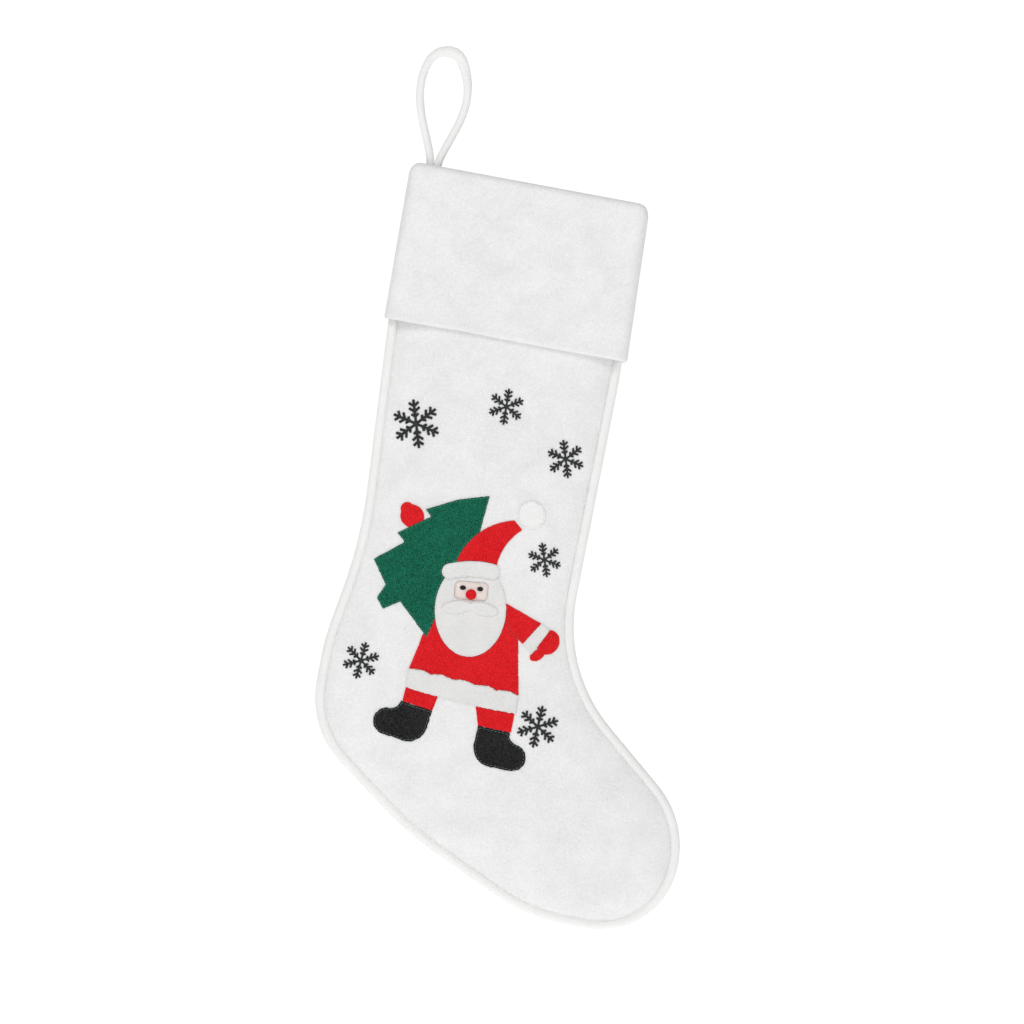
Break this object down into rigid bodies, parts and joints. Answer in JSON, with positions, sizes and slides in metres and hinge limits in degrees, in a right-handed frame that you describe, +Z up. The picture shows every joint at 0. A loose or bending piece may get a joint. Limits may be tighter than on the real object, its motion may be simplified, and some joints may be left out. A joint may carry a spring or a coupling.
{
  "type": "hanging stocking",
  "caption": "White felt hanging stocking with a folded cuff, piped edge, sewn hanging loop, and a cut-felt winter figure with a fir and embroidered snowflakes.",
  "frame": {"origin": "inside top of the hanging loop, where the hook bears", "axes": "+Z up, +X towards the toe along the wall, front face towards -Y"},
  "size_m": [0.2282, 0.023, 0.5526],
  "materials": {
    "white_felt": "brushed felt",
    "white_lining": "thin felt",
    "white_cotton": "soft cotton knit",
    "cotton_cord": "twisted cotton",
    "white_thread": "sewing thread",
    "green_felt": "brushed felt",
    "red_felt": "brushed felt",
    "pink_felt": "brushed felt",
    "black_felt": "brushed felt",
    "white_pile": "short pile",
    "black_satin": "satin stitch thread",
    "pale_thread": "sewing thread"
  },
  "bodies": {
    "loop": {"hanging_loop": "white_cotton"},
    "stocking": {"front_panel": "white_felt", "back_panel": "white_felt", "front_lining": "white_lining", "back_lining": "white_lining", "piping_cover": "white_cotton", "piping_cord": "cotton_cord", "seam_thread": "white_thread", "cuff": "white_felt", "cuff_seam_thread": "white_thread", "loop_tail": "white_cotton", "loop_tack": "white_thread", "tree": "green_felt", "raised_mitten": "red_felt", "hat": "red_felt", "hat_brim": "white_pile", "pompom": "white_pile", "face": "pink_felt", "beard": "white_pile", "moustache": "white_pile", "nose": "red_felt", "eyes": "black_satin", "coat": "red_felt", "coat_hem_trim": "white_pile", "sleeve": "red_felt", "sleeve_trim": "white_pile", "hanging_mitten": "red_felt", "left_trouser_leg": "red_felt", "right_trouser_leg": "red_felt", "left_boot": "black_felt", "right_boot": "black_felt", "left_boot_stitching": "pale_thread", "right_boot_stitching": "pale_thread", "snowflake_upper_left": "black_satin", "snowflake_top": "black_satin", "snowflake_upper_right": "black_satin", "snowflake_mid_right": "black_satin", "snowflake_lower_left": "black_satin", "snowflake_lower_right": "black_satin"}
  },
  "joints": [
    {"name": "loop_fold", "type": "hinge", "parent": "loop", "child": "stocking", "pos_m": [-0.00577, 0, -0.06514], "axis": [0.9833, 0, -0.1822], "range_deg": [-90, 90]}
  ]
}
